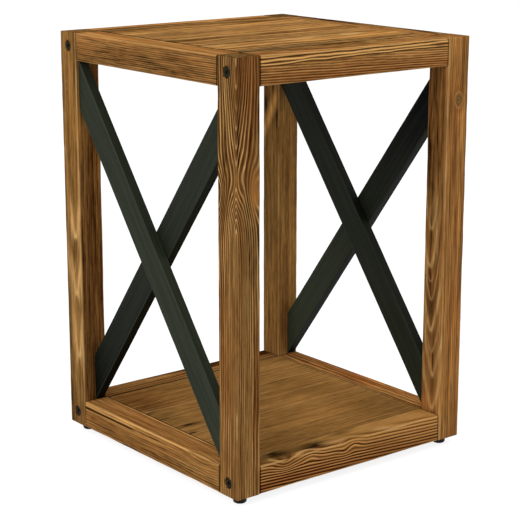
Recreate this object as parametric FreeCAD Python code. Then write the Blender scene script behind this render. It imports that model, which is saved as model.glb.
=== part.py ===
import FreeCAD, Part
import math
import os

# A knock-down side table: two side frames, each two legs and two rails with a pair of
# crossed braces, and between them a planked top and a planked shelf. Bolts through the
# legs pull barrel nuts in the rails of the top and the shelf, and hold it all together.
#
# Sizes are in millimetres. X runs from left to right seen from the front, Y from the
# front to the back and Z up. The origin is on the floor under the middle of the table.

# The whole table, over its legs
table_width = 420.0
table_depth = 420.0
leg_length = 600.0
foot_height = 12.0

# Legs, and the rails a little behind their faces
leg_size = 40.0
leg_arris = 2.5
rail_height = 40.0
rail_arris = 2.0
side_rail_setback = 0.4
panel_rail_setback = 1.0

# Crossed braces of the side frames
brace_width = 42.5
brace_thickness = 15.0
brace_arris = 1.2

# Planks of the top and of the shelf, tongued and grooved. The back plank takes the rest.
# The shelf's are hardly broken at their edges, so that its joints don't show.
plank_thickness = 18.0
top_plank_arris = 1.0
shelf_plank_arris = 0.4
front_plank_width = 122.0
middle_plank_width = 117.0
tongue_thickness = 6.0
tongue_depth = 5.0
tongue_clearance = 0.2

# Battens screwed under the planks
batten_width = 35.0
batten_thickness = 18.0
batten_inset = 30.0
batten_arris = 1.5

# Dowels between the side rails and the legs, in pairs
frame_dowel_diameter = 8.0
frame_dowel_length = 30.0
frame_dowel_spacing = 20.0

# Thinner dowels that hold the braces and keep the front and back rails level
pin_diameter = 6.0
pin_length = 24.0
cross_pin_length = 18.0
pin_above_bolt = 11.0

dowel_chamfer = 0.7
dowel_clearance = 0.05
dowel_end_gap = 1.0

# Connector bolts and their barrel nuts
bolt_diameter = 6.0
bolt_length = 62.0
bolt_clearance = 0.25
bolt_end_gap = 2.0
head_diameter = 15.0
head_height = 4.0
head_round = 1.0
head_clearance = 0.6
head_sunk = 1.2
socket_sides = 6
socket_across_flats = 5.0
socket_depth = 2.5
nut_diameter = 10.0
nut_length = 16.0
nut_setback = 22.0
nut_clearance = 0.05
thread_clearance = 0.05
nut_slot_width = 1.4
nut_slot_depth = 1.2

# Countersunk screws through the battens
screw_diameter = 4.0
screw_length = 30.0
screw_head_diameter = 7.6
screw_head_height = 2.4
screw_point_length = 4.0
screw_clearance = 0.05

# Round feet and the screws inside them
foot_diameter = 20.0
foot_draft = 0.6
foot_round = 3.0
foot_recess_diameter = 8.4
foot_recess_depth = 5.0
foot_screw_length = 16.0
foot_screw_head_diameter = 7.6
foot_screw_head_height = 2.6

# How far a cut runs past the face where it starts
overrun = 1.0

# Two directions or levels count as one when they differ by less than this
same_share = 0.001

quarter_turn = 90.0

X = FreeCAD.Vector(1, 0, 0)
Y = FreeCAD.Vector(0, 1, 0)
Z = FreeCAD.Vector(0, 0, 1)

# Planes and centres that several pieces share
half_width = table_width / 2
half_depth = table_depth / 2
inner_x = half_width - leg_size
inner_y = half_depth - leg_size
leg_x = half_width - leg_size / 2
leg_y = half_depth - leg_size / 2
top_z = foot_height + leg_length
shelf_z = foot_height + rail_height
opening_half_height = (top_z - rail_height - shelf_z) / 2
opening_centre_z = shelf_z + opening_half_height
brace_stack_x = -half_width + (leg_size - brace_thickness * 2) / 2


def point(x, y, z):
    return FreeCAD.Vector(x, y, z)


def box(low, high):
    size = high - low
    return Part.makeBox(size.x, size.y, size.z, low)


def rod(diameter, start, direction, length):
    return Part.makeCylinder(diameter / 2, length, start, direction)


def edges_along(shape, axis):
    """The straight edges of a shape that run along an axis."""
    found = []
    for edge in shape.Edges:
        ends = edge.lastVertex().Point - edge.firstVertex().Point
        if ends.cross(axis).Length < edge.Length * same_share:
            found.append(edge)
    return found


def edges_on_top(shape):
    """The edges that lie in the highest plane of a shape."""
    high = shape.BoundBox.ZMax
    reach = shape.BoundBox.ZLength * same_share
    return [edge for edge in shape.Edges if edge.BoundBox.ZMin > high - reach]


def board(low, high, axis, arris):
    """A board whose long edges, along its axis, are rounded."""
    blank = box(low, high)
    return blank.makeFillet(arris, edges_along(blank, axis))


def turned_round(shape):
    """A copy of a shape of the left side, turned round to the right side."""
    turned = shape.copy()
    turned.rotate(point(0, 0, 0), Z, quarter_turn * 2)
    return turned


def dowel(diameter, length, middle, direction):
    start = middle - direction * (length / 2)
    blank = rod(diameter, start, direction, length)
    rims = [edge for edge in blank.Edges if edge.Closed]
    return blank.makeChamfer(dowel_chamfer, rims)


def dowel_hole(diameter, length, middle, direction):
    """The bore of both pieces that a dowel joins, a little longer than the dowel."""
    bore = length + dowel_end_gap * 2
    start = middle - direction * (bore / 2)
    return rod(diameter + dowel_clearance * 2, start, direction, bore)


def rail_levels():
    """The middle heights of the bottom and the top rails."""
    return (foot_height + rail_height / 2, top_z - rail_height / 2)


bolt_seat = head_sunk + head_height


def bolt_sites():
    """Where the bolts enter the left side frame, on its outer face."""
    return [point(-half_width, y, z) for y in (-leg_y, leg_y) for z in rail_levels()]


def frame_dowel_sites():
    """The middles of the dowels between rails and legs of the left side frame."""
    sites = []
    for y in (-inner_y, inner_y):
        for level in rail_levels():
            sites.append(point(-leg_x, y, level - frame_dowel_spacing / 2))
            sites.append(point(-leg_x, y, level + frame_dowel_spacing / 2))
    return sites


def rail_pin_sites():
    """The middles of the pins beside the bolts, between legs and front and back rails."""
    return [point(-inner_x, s.y, s.z + pin_above_bolt) for s in bolt_sites()]


# A brace is cut plumb at both ends. Its upper edge runs into the corner of the opening,
# which settles its slope.
corner_distance = math.hypot(inner_y, opening_half_height)
corner_angle = math.atan2(opening_half_height, inner_y)
brace_angle = corner_angle - math.asin(brace_width / 2 / corner_distance)
brace_end_height = brace_width / math.cos(brace_angle)
outer_brace_x = brace_stack_x
inner_brace_x = brace_stack_x + brace_thickness


def brace_pin_sites(lean):
    """The middles of a brace's two end pins. lean is 1 where it rises to the back."""
    x = (outer_brace_x if lean > 0 else inner_brace_x) + brace_thickness / 2
    rise = opening_half_height - brace_end_height / 2
    return [point(x, side * lean * inner_y, opening_centre_z + side * rise) for side in (-1, 1)]


def cross_pin_site():
    return point(inner_brace_x, 0, opening_centre_z)


def brace(lean):
    """One brace of the left side frame, cut to its opening from corner to corner."""
    x = outer_brace_x if lean > 0 else inner_brace_x
    low = opening_centre_z - opening_half_height
    high = opening_centre_z + opening_half_height
    outline = [
        point(x, -lean * inner_y, low),
        point(x, lean * inner_y, high - brace_end_height),
        point(x, lean * inner_y, high),
        point(x, -lean * inner_y, low + brace_end_height),
    ]
    face = Part.Face(Part.makePolygon(outline + outline[:1]))
    blank = face.extrude(X * brace_thickness)
    run = outline[1] - outline[0]
    piece = blank.makeFillet(brace_arris, edges_along(blank, run.normalize()))
    for site in brace_pin_sites(lean):
        piece = piece.cut(dowel_hole(pin_diameter, pin_length, site, Y))
    return piece.cut(dowel_hole(pin_diameter, cross_pin_length, cross_pin_site(), X))


def leg(y):
    """A leg of the left side frame, bored for its bolts, dowels and foot screw."""
    low = point(-half_width, y - leg_size / 2, foot_height)
    high = point(-inner_x, y + leg_size / 2, top_z)
    blank = box(low, high)
    piece = blank.makeFillet(leg_arris, blank.Edges)
    for site in bolt_sites():
        piece = piece.cut(rod(bolt_diameter + bolt_clearance * 2, site, X, leg_size + overrun))
        mouth = site - X * overrun
        piece = piece.cut(rod(head_diameter + head_clearance * 2, mouth, X, bolt_seat + overrun))
    for site in rail_pin_sites():
        piece = piece.cut(dowel_hole(pin_diameter, pin_length, site, X))
    for site in frame_dowel_sites():
        piece = piece.cut(dowel_hole(frame_dowel_diameter, frame_dowel_length, site, Y))
    for lean in (-1, 1):
        for site in brace_pin_sites(lean):
            piece = piece.cut(dowel_hole(pin_diameter, pin_length, site, Y))
    depth = foot_screw_length - (foot_height - foot_recess_depth) + dowel_end_gap
    start = point(-leg_x, y, foot_height - overrun)
    return piece.cut(rod(screw_diameter + screw_clearance * 2, start, Z, depth + overrun))


def side_rail(level):
    """A rail between the two legs of the left side frame."""
    low = point(-half_width + side_rail_setback, -inner_y, level - rail_height / 2)
    high = point(-inner_x, inner_y, level + rail_height / 2)
    piece = board(low, high, Y, rail_arris)
    for site in frame_dowel_sites():
        piece = piece.cut(dowel_hole(frame_dowel_diameter, frame_dowel_length, site, Y))
    return piece


def connector_bolt(site):
    """A flat-headed bolt with a hexagon socket, its head sunk in the leg."""
    face = site + X * head_sunk
    blank = rod(head_diameter, face, X, head_height)
    outer_rim = [edge for edge in blank.Edges if edge.Closed and edge.BoundBox.XMax < site.x + bolt_seat]
    head = blank.makeFillet(head_round, outer_rim)
    bolt = head.fuse(rod(bolt_diameter, site + X * bolt_seat, X, bolt_length)).removeSplitter()
    turn = math.tau / socket_sides
    corner = socket_across_flats / 2 / math.cos(turn / 2)
    mouth = face - X * overrun
    corners = []
    for number in range(socket_sides + 1):
        sideways = corner * math.sin(turn * number)
        upwards = corner * math.cos(turn * number)
        corners.append(mouth + Y * sideways + Z * upwards)
    socket = Part.Face(Part.makePolygon(corners)).extrude(X * (socket_depth + overrun))
    return bolt.cut(socket)


def barrel_nut(site):
    """A cross-bored nut that stands upright in a rail, slotted at its lower end."""
    middle = site + X * (leg_size + nut_setback)
    low = middle - Z * (nut_length / 2)
    nut = rod(nut_diameter, low, Z, nut_length)
    bore = nut_diameter + overrun * 2
    nut = nut.cut(rod(bolt_diameter + thread_clearance * 2, middle - X * (bore / 2), X, bore))
    slot_low = low - X * (bore / 2) - Y * (nut_slot_width / 2) - Z * overrun
    slot_high = low + X * (bore / 2) + Y * (nut_slot_width / 2) + Z * nut_slot_depth
    return nut.cut(box(slot_low, slot_high))


def end_bores():
    """What bolts, barrel nuts and pins take out of the left ends of front and back rails."""
    bores = []
    for site in bolt_sites():
        depth = bolt_seat + bolt_length + bolt_end_gap
        bores.append(rod(bolt_diameter + bolt_clearance * 2, site, X, depth))
        middle = site + X * (leg_size + nut_setback)
        height = rail_height / 2 + nut_length / 2 + nut_clearance
        foot = middle - Z * (rail_height / 2 + overrun)
        bores.append(rod(nut_diameter + nut_clearance * 2, foot, Z, height + overrun))
    for site in rail_pin_sites():
        bores.append(dowel_hole(pin_diameter, pin_length, site, X))
    return bores


def tongue_space(y, level, side, clearance):
    """The bar between two plank edges at y, which reaches to the side, front or back."""
    middle = level - plank_thickness / 2
    half = tongue_thickness / 2 + clearance
    reach = y + side * (tongue_depth + clearance)
    low = point(-inner_x, min(y, reach), middle - half)
    high = point(inner_x, max(y, reach), middle + half)
    return box(low, high)


def panel_rail(level, side):
    """The front rail, side -1, or the back rail, side 1, of the top or the shelf."""
    face = side * inner_y
    outside = side * (half_depth - panel_rail_setback)
    low = point(-inner_x, min(face, outside), level - rail_height)
    high = point(inner_x, max(face, outside), level)
    piece = board(low, high, X, rail_arris)
    piece = piece.cut(tongue_space(face, level, side, tongue_clearance))
    for bore in end_bores():
        piece = piece.cut(bore)
        piece = piece.cut(turned_round(bore))
    return piece


plank_edges = [-inner_y, -inner_y + front_plank_width]
plank_edges += [plank_edges[-1] + middle_plank_width, inner_y]


def batten_middles():
    return [side * (inner_x - batten_inset - batten_width / 2) for side in (-1, 1)]


def screw_sites(level, x):
    """Where a batten's screws enter it from below, one under each plank."""
    bottom = level - plank_thickness - batten_thickness
    return [point(x, (front + back) / 2, bottom) for front, back in zip(plank_edges, plank_edges[1:])]


def countersunk_screw(site, clearance):
    """A screw pointing up, or, with a clearance, the hole that it takes."""
    head = screw_head_diameter / 2 + clearance
    shank = screw_diameter / 2 + clearance
    cone = Part.makeCone(head, shank, screw_head_height, site, Z)
    straight = screw_length - screw_head_height - screw_point_length
    stem = rod(shank * 2, site + Z * screw_head_height, Z, straight)
    tip_site = site + Z * (screw_length - screw_point_length)
    if clearance:
        tip = rod(shank * 2, tip_site, Z, screw_point_length + clearance)
    else:
        tip = Part.makeCone(shank, 0, screw_point_length, tip_site, Z)
    return cone.fuse([stem, tip]).removeSplitter()


def plank(number, level, arris):
    """A plank of the top or the shelf. The front plank has a tongue on both edges."""
    front = plank_edges[number]
    back = plank_edges[number + 1]
    blank = box(point(-inner_x, front, level - plank_thickness), point(inner_x, back, level))
    piece = blank.makeFillet(arris, edges_on_top(blank))
    piece = piece.fuse(tongue_space(back, level, 1, 0))
    if number == 0:
        piece = piece.fuse(tongue_space(front, level, -1, 0))
    else:
        piece = piece.cut(tongue_space(front, level, 1, tongue_clearance))
    for x in batten_middles():
        for site in screw_sites(level, x):
            piece = piece.cut(countersunk_screw(site, screw_clearance))
    return piece.removeSplitter()


def batten(level, x):
    """A batten under the planks, from the front rail to the back rail."""
    low = point(x - batten_width / 2, -inner_y, level - plank_thickness - batten_thickness)
    high = point(x + batten_width / 2, inner_y, level - plank_thickness)
    piece = board(low, high, Y, batten_arris)
    for site in screw_sites(level, x):
        piece = piece.cut(countersunk_screw(site, screw_clearance))
    return piece


def foot(x, y):
    """A round foot, drawn in a little downwards, with a recess for its screw."""
    bore = screw_diameter / 2 + screw_clearance
    rim = foot_diameter / 2
    foot_rim = rim - foot_draft
    recess = foot_recess_diameter / 2
    bend = foot_round * (1 - math.sqrt(1 / 2))
    start = point(foot_rim, 0, foot_round)
    middle = point(foot_rim - bend, 0, bend)
    end = point(foot_rim - foot_round, 0, 0)
    corners = [
        end,
        point(recess, 0, 0),
        point(recess, 0, foot_recess_depth),
        point(bore, 0, foot_recess_depth),
        point(bore, 0, foot_height),
        point(rim, 0, foot_height),
        start,
    ]
    sides = [Part.LineSegment(a, b).toShape() for a, b in zip(corners, corners[1:])]
    sides.append(Part.Arc(start, middle, end).toShape())
    shape = Part.Face(Part.Wire(sides)).revolve(point(0, 0, 0), Z, quarter_turn * 4)
    shape.translate(point(x, y, 0))
    return shape


def foot_screw(x, y):
    """A round-headed screw inside a foot, from its recess up into the leg."""
    seat = point(x, y, foot_recess_depth)
    head = rod(foot_screw_head_diameter, seat - Z * foot_screw_head_height, Z, foot_screw_head_height)
    shank = rod(screw_diameter, seat, Z, foot_screw_length - screw_point_length)
    tip_site = seat + Z * (foot_screw_length - screw_point_length)
    tip = Part.makeCone(screw_diameter / 2, 0, screw_point_length, tip_site, Z)
    return head.fuse([shank, tip]).removeSplitter()


def side_frame():
    """The pieces of the left side frame, with the bolts and nuts on its side."""
    bottom, top = rail_levels()
    dowels = [dowel(frame_dowel_diameter, frame_dowel_length, site, Y) for site in frame_dowel_sites()]
    brace_pins = [dowel(pin_diameter, cross_pin_length, cross_pin_site(), X)]
    for lean in (-1, 1):
        brace_pins += [dowel(pin_diameter, pin_length, site, Y) for site in brace_pin_sites(lean)]
    rail_pins = [dowel(pin_diameter, pin_length, site, X) for site in rail_pin_sites()]
    return {
        "leg_FRONT_SIDE": leg(-leg_y),
        "leg_REAR_SIDE": leg(leg_y),
        "side_bottom_rail_SIDE": side_rail(bottom),
        "side_top_rail_SIDE": side_rail(top),
        "brace_outer_SIDE": brace(1),
        "brace_inner_SIDE": brace(-1),
        "frame_dowels_SIDE": Part.makeCompound(dowels),
        "brace_pins_SIDE": Part.makeCompound(brace_pins),
        "rail_pins_SIDE": Part.makeCompound(rail_pins),
        "connector_bolts_SIDE": Part.makeCompound([connector_bolt(site) for site in bolt_sites()]),
        "barrel_nuts_SIDE": Part.makeCompound([barrel_nut(site) for site in bolt_sites()]),
    }


def panel(level, arris):
    """The pieces of the top, or of the shelf, whose surface is at a level."""
    pieces = {"front_rail": panel_rail(level, -1), "back_rail": panel_rail(level, 1)}
    for number in range(len(plank_edges) - 1):
        pieces["plank_%d" % (number + 1)] = plank(number, level, arris)
    screws = []
    for name, x in zip(("left", "right"), batten_middles()):
        pieces["batten_" + name] = batten(level, x)
        screws += [countersunk_screw(site, 0) for site in screw_sites(level, x)]
    pieces["batten_screws"] = Part.makeCompound(screws)
    return pieces


def all_nodes():
    """Every piece of the table by its name. Both side frames are one design, turned round."""
    nodes = {}
    for name, shape in side_frame().items():
        left = name.replace("SIDE", "left").replace("FRONT", "front").replace("REAR", "rear")
        right = name.replace("SIDE", "right").replace("FRONT", "rear").replace("REAR", "front")
        nodes[left] = shape
        nodes[right] = turned_round(shape)
    panels = (("top", top_z, top_plank_arris), ("shelf", shelf_z, shelf_plank_arris))
    for prefix, level, arris in panels:
        for name, shape in panel(level, arris).items():
            nodes[prefix + "_" + name] = shape
    screws = []
    for side, x in (("left", -leg_x), ("right", leg_x)):
        for end, y in (("front", -leg_y), ("rear", leg_y)):
            nodes["foot_%s_%s" % (end, side)] = foot(x, y)
            screws.append(foot_screw(x, y))
    nodes["foot_screws"] = Part.makeCompound(screws)
    return nodes


os.makedirs("parts", exist_ok=True)
for name, shape in all_nodes().items():
    if not shape.isValid():
        raise ValueError("not a valid shape: " + name)
    shape.exportStep("parts/%s.step" % name)
    print("%-26s solids %2d  volume %9.0f" % (name, len(shape.Solids), shape.Volume))
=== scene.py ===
import math

import bmesh
import bpy
from mathutils import Euler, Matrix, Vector, noise


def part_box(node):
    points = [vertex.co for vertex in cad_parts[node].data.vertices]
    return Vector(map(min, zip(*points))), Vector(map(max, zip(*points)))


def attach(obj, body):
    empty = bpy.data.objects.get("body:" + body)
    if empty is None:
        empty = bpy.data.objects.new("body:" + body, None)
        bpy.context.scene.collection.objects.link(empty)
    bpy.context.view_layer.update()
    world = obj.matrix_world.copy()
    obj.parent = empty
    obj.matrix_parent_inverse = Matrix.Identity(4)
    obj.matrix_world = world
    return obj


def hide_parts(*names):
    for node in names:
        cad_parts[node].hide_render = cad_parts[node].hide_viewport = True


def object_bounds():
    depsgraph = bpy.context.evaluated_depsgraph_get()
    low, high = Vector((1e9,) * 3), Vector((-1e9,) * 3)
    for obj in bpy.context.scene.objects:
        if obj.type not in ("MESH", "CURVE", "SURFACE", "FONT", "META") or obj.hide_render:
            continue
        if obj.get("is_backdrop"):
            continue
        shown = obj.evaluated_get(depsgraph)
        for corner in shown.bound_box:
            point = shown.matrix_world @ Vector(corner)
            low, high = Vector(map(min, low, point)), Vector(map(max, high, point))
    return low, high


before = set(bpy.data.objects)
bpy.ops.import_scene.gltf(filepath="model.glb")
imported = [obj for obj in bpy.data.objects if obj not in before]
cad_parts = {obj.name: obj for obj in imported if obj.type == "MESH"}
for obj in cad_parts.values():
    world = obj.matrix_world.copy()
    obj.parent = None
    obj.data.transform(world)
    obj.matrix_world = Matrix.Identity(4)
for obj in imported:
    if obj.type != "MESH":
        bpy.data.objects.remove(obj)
cad_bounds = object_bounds()

bl_info = {
    "name": "Rustic side table",
    "version": (1, 0, 0),
    "blender": (4, 5, 0),
    "location": "3D View > Sidebar > Side table",
    "description": "Dresses a knock-down side table in worn pine with stained braces",
    "category": "Object",
}

MM = 0.001
BODY = "root"
LEGS = ("leg_front_left", "leg_rear_left", "leg_front_right", "leg_rear_right")
BRACES = ("brace_outer_left", "brace_inner_left", "brace_outer_right", "brace_inner_right")
SIDE_RAILS = (
    "side_top_rail_left", "side_top_rail_right", "side_bottom_rail_left", "side_bottom_rail_right",
)
PANEL_RAILS = ("top_front_rail", "top_back_rail", "shelf_front_rail", "shelf_back_rail")

# How a board lies: the turn that takes its own x, its length, to where it runs
ALONG_X = (0.0, 0.0, 0.0)
ALONG_Y = (0.0, 0.0, math.pi / 2)
ALONG_Z = (0.0, -math.pi / 2, 0.0)

# Sizes that the frame's own shapes give
TONGUE = 5.0 * MM         # of a plank, part of its width
NUT_BORE_RISE = 8.0 * MM  # how far a barrel nut's bore goes past the rail's middle
NUT_GAP = 0.1 * MM        # how much wider that bore is than the nut
CUT_END = 0.05 * MM       # how near the last point the points of a brace's plumb cut are
OUTSIDE = 1.0 * MM        # how far a cutter sticks out of the face that it cuts
CUTTER_SIDES = 48

# Sizes of wear and of the boards' meshes
WAVER = 0.5               # how much the radius of an arris varies
SPLIT_WAVER = 0.75        # the same of the split ones
BRACE_WAVER = 0.45
SPLIT_ARRIS = 3.6 * MM    # radius of the front rails' split upper edge
LEAST_ARRIS = 0.35 * MM   # no edge is sharper than this
ARC_STEPS = 4             # parts of a rounded corner
END_RUN = 1.5 * MM        # from the rounding of an end to the first cross-section
HOLLOWS = (16, 60)        # hollows of the planed faces, along and across, turns per metre
SIDE_POINTS = (0.05, 0.25, 0.5, 0.75, 0.95)  # where a side between two corners has points
# Waves in an arris: turns per metre, how unlike the corners are, strength
ARRIS_WAVES = ((22, 3.7, 1.0), (75, 5.1, 0.6))
# How far apart in the noise the boards are cut, for each step of their seed
SEED_STEP = (1.37, 0.71, 2.13)
LIP_FADE = 15.0           # half the length over which a split layer begins or ends, in mm


def colour(code):
    """The linear colour of a hexadecimal sRGB code."""
    parts = [int(code[i:i + 2], 16) / 255 for i in (1, 3, 5)]
    linear = [p / 12.92 if p <= 0.04045 else ((p + 0.055) / 1.055) ** 2.4 for p in parts]
    return tuple(linear)


def opaque(code):
    """The same with an alpha of 1, as the shaders take it."""
    return (*colour(code), 1.0)


# Shades that no setting changes
BRACE_RUBBED_AND_LIT, BRACE_SHADED = opaque("#6A6F60"), opaque("#0C0D08")
BOLT_SHEEN, FOOT_DUST = opaque("#332C1A"), opaque("#1F1E1C")
ZINC_BRIGHT, ZINC_DULL = opaque("#B9B6AB"), opaque("#8F8F88")
BEECH_PALE, BEECH_DARK, BEECH_FLECK = opaque("#C9A677"), opaque("#B08A59"), opaque("#7E5A34")
KNOT_PALE, KNOT_DARK = opaque("#7A643A"), opaque("#4A3418")
WHITE = (1.0, 1.0, 1.0, 1.0)


# Sizes and colours that a user would change

def amount(name, description, default, **more):
    """A number setting."""
    return bpy.props.FloatProperty(name=name, description=description, default=default, **more)


def length(name, description, default, least=0.0):
    """A length setting; its default and least value are given in mm."""
    return amount(name, description, default * MM, min=least * MM, unit="LENGTH")


def tint(name, description, code):
    """A colour setting."""
    return bpy.props.FloatVectorProperty(
        name=name, description=description, subtype="COLOR", default=colour(code),
        min=0.0, max=1.0)


class TimberSettings(bpy.types.PropertyGroup):
    leg_arris: length("Leg arris", "Radius of the worn long edges of the legs", 2.2, 0.5)
    rail_arris: length("Rail arris", "Radius of the worn long edges of the rails", 1.8, 0.5)
    shelf_arris: length(
        "Arris at the shelf", "Radius of a rail's edge where the shelf meets it", 0.6, 0.3)
    brace_arris: length("Brace arris", "Radius of the long edges of the braces", 1.1, 0.3)
    end_round: length("End rounding", "Radius of the edges of sawn ends", 0.7, 0.2)
    unevenness: length("Unevenness", "How deep the planed faces undulate", 0.18)
    station_step: length(
        "Station step", "Distance between cross-sections of a board", 6.0, 1.0)
    honey: tint("Honey", "Lightest stain of the pine", "#A3723C")
    amber: tint("Amber", "Usual stain of the pine", "#775029")
    umber: tint("Umber", "Late wood and deep grain", "#2A1404")
    worn: tint("Worn", "Bare wood where the stain has worn away", "#D0A468")
    olive: tint("Olive", "Greener, duller stain of some boards", "#7E6234")
    bare_wood: tint("Bare wood", "Split edges that took no stain", "#F0B66C")
    russet: tint("Russet", "Redder streaks of the stain", "#743A15")
    ginger: tint("Ginger", "Pale grain lines in redder wood", "#D08C4C")


class MetalSettings(bpy.types.PropertyGroup):
    brace_stain: tint("Brace stain", "Charcoal stain of the crossed braces", "#1E2219")
    bolt_black: tint("Bolt black", "Blackened steel of the connector bolts", "#1A170D")
    rubber: tint("Rubber", "Black rubber of the feet", "#070707")
    head_diameter: length("Bolt head", "Diameter of the connector bolts' heads", 15.0)
    head_clearance: length("Counterbore clearance", "Gap round a bolt head", 0.6)
    counterbore_depth: length(
        "Counterbore depth", "Depth of the recess in which a bolt head sits", 5.2)
    nut_diameter: length("Barrel nut", "Diameter of the barrel nuts", 10.0)
    screw_head: length("Screw head", "Diameter of the batten screws' heads", 7.6)
    screw_shank: length("Screw shank", "Diameter of the batten screws' shanks", 3.2)
    screw_length: length("Screw length", "Length of the batten screws", 30.0)


class StageSettings(bpy.types.PropertyGroup):
    azimuth: amount(
        "Azimuth", "Where the camera stands round the table", math.radians(-38.48),
        subtype="ANGLE")
    elevation: amount(
        "Elevation", "How far the camera looks down", math.radians(14.0), subtype="ANGLE")
    distance: amount("Distance", "Camera to the middle of the table", 2.422, unit="LENGTH")
    slide: bpy.props.FloatVectorProperty(
        name="Slide", description="Camera moved sideways and upwards across its view",
        size=2, default=(-0.0029, -0.0288), unit="LENGTH")
    focal_pixels: amount(
        "Focal length", "Focal length in pixels of a 520 pixel wide picture", 1630.4)
    daylight: amount("Surroundings", "Strength of the even light from all round", 0.60, min=0.0)
    key_power: amount(
        "Key light", "Power of the large light at the upper left", 40.0, min=0.0, unit="POWER")
    fill_power: amount(
        "Fill lights", "Power of the large lights at the right and above", 10.0, min=0.0,
        unit="POWER")


# Shader maths

class Wire:
    """A socket's value. Sums and products of wires and numbers add Math nodes."""

    def __init__(self, recipe, socket):
        self.recipe = recipe
        self.socket = socket

    def __add__(self, other):
        return self.recipe.sum("ADD", self, other)

    def __sub__(self, other):
        return self.recipe.sum("SUBTRACT", self, other)

    def __mul__(self, other):
        return self.recipe.sum("MULTIPLY", self, other)

    def __truediv__(self, other):
        return self.recipe.sum("DIVIDE", self, other)

    def __rsub__(self, other):
        return self.recipe.sum("SUBTRACT", other, self)

    def __neg__(self):
        return self.recipe.sum("MULTIPLY", self, -1.0)

    def __abs__(self):
        return self.recipe.sum("ABSOLUTE", self)

    __radd__ = __add__


class Recipe:
    """The nodes of one finish or one Geometry Nodes tree."""

    def __init__(self, tree):
        self.tree = tree
        tree.nodes.clear()

    def node(self, kind, values=None, output=0, **settings):
        """Adds a node: first its settings, then the values or wires of its sockets."""
        node = self.tree.nodes.new(kind)
        for key, value in settings.items():
            setattr(node, key, value)
        for key, value in (values or {}).items():
            for one in value if isinstance(value, list) else [value]:
                if isinstance(one, Wire):
                    self.tree.links.new(one.socket, node.inputs[key])
                else:
                    node.inputs[key].default_value = one
        return Wire(self, node.outputs[output]) if node.outputs else None

    def sum(self, operation, *values):
        return self.node("ShaderNodeMath", dict(enumerate(values)), operation=operation)

    def vector(self, operation, *values, output=0):
        values = dict(enumerate(values))
        return self.node("ShaderNodeVectorMath", values, output, operation=operation)

    def blend(self, share, first, second):
        """Mixes two colours."""
        return self.node("ShaderNodeMix", {0: share, 6: first, 7: second}, 2, data_type="RGBA")

    def brighten(self, shade, amount):
        """A colour times a number."""
        values = {0: shade, "Scale": amount}
        return self.node("ShaderNodeVectorMath", values, operation="SCALE")

    def rise(self, value, low, high):
        """0 below low, 1 above high and smooth between them."""
        values = {0: value, 1: low, 2: high}
        return self.node("ShaderNodeMapRange", values, interpolation_type="SMOOTHSTEP")

    def between(self, value, start, full, waning, end):
        """1 from full to waning, falling away to 0 at start and end."""
        return self.rise(value, start, full) * (1.0 - self.rise(value, waning, end))

    def hump(self, off):
        """1 where a value is 0, falling away to 0 at about 2 on both sides."""
        return self.sum("EXPONENT", -(off * off))

    def stretch(self, vector, scales):
        return self.vector("MULTIPLY", vector, scales)

    def parts(self, vector):
        return [self.node("ShaderNodeSeparateXYZ", {0: vector}, n) for n in range(3)]

    def table(self):
        """The place in the table of a point of a surface."""
        return self.node("ShaderNodeTexCoord", output="Object")

    def turned(self, vector, turn, centre=(0.0, 0.0, 0.0)):
        """A place in the table as a board has it: along, across and up from its middle."""
        values = {"Vector": vector, "Location": centre, "Rotation": turn}
        return self.node("ShaderNodeMapping", values, vector_type="TEXTURE")

    def noise(self, vector, scales, detail=2.0, roughness=0.5):
        """Soft noise between 0 and 1, with its own frequency along each axis."""
        values = {"Vector": self.stretch(vector, scales), "Scale": 1.0, "Detail": detail,
                  "Roughness": roughness}
        return self.node("ShaderNodeTexNoise", values)

    def bell(self, vector, centre, reach):
        """1 at a centre, falling away to 0 over a reach along each axis."""
        off = self.vector("SUBTRACT", vector, centre)
        off = self.stretch(off, tuple(1 / r for r in reach))
        squared = self.vector("DOT_PRODUCT", off, off, output="Value")
        return self.sum("EXPONENT", -squared)

    def finish(self, shade, roughness, height, depth, gloss=0.5, metallic=0.0):
        """The surface: a Principled shader with a bump."""
        bump = {"Strength": 1.0, "Distance": depth, "Height": height}
        surface = self.node("ShaderNodeBsdfPrincipled", {
            "Base Color": shade, "Roughness": roughness, "Metallic": metallic,
            "Specular IOR Level": gloss, "Normal": self.node("ShaderNodeBump", bump)})
        self.node("ShaderNodeOutputMaterial", {"Surface": surface})


def new_finish(name):
    material = bpy.data.materials.new(name.replace("_", " "))
    material.use_nodes = True
    return material, Recipe(material.node_tree)


# Boards

class Board:
    """Where one board of the frame lies, how it runs and how large it is."""

    def __init__(self, node, turn):
        low, high = (Vector(corner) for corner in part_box(node))
        self.node = node
        self.turn = turn
        self.centre = (low + high) / 2
        self.slope = 0.0
        size = high - low
        if turn == ALONG_Y:
            size = Vector((size.y, size.x, size.z))
        elif turn == ALONG_Z:
            size = Vector((size.z, size.y, size.x))
        self.half = size / 2

    def lean(self):
        """Turns a board along Y into a brace, by the plumb cut at its rear end."""
        points = [Vector(v.co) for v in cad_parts[self.node].data.vertices]
        last = max(p.y for p in points)
        end = [p.z for p in points if p.y > last - CUT_END]
        cut = max(end) - min(end)
        up = 1.0 if sum(end) / len(end) > self.centre.z else -1.0
        self.slope = up * (self.half.z * 2 - cut) / (self.half.x * 2)
        self.half.z = cut / 2
        return self

    def put(self, along, across, up):
        """A place on the board, measured from its middle, as a place in the table."""
        turned = Euler(self.turn).to_matrix() @ Vector((along, across, up))
        return self.centre + turned + Vector((0.0, 0.0, along * self.slope))

    def grain_turn(self):
        angle = math.atan(self.slope)
        return Euler((0.0, -angle, self.turn[2])) if self.slope else Euler(self.turn)


def finished_mesh(name, shape):
    """Makes a mesh of a bmesh and lets go of the latter."""
    mesh = bpy.data.meshes.new(name)
    shape.to_mesh(mesh)
    shape.free()
    return mesh


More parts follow.
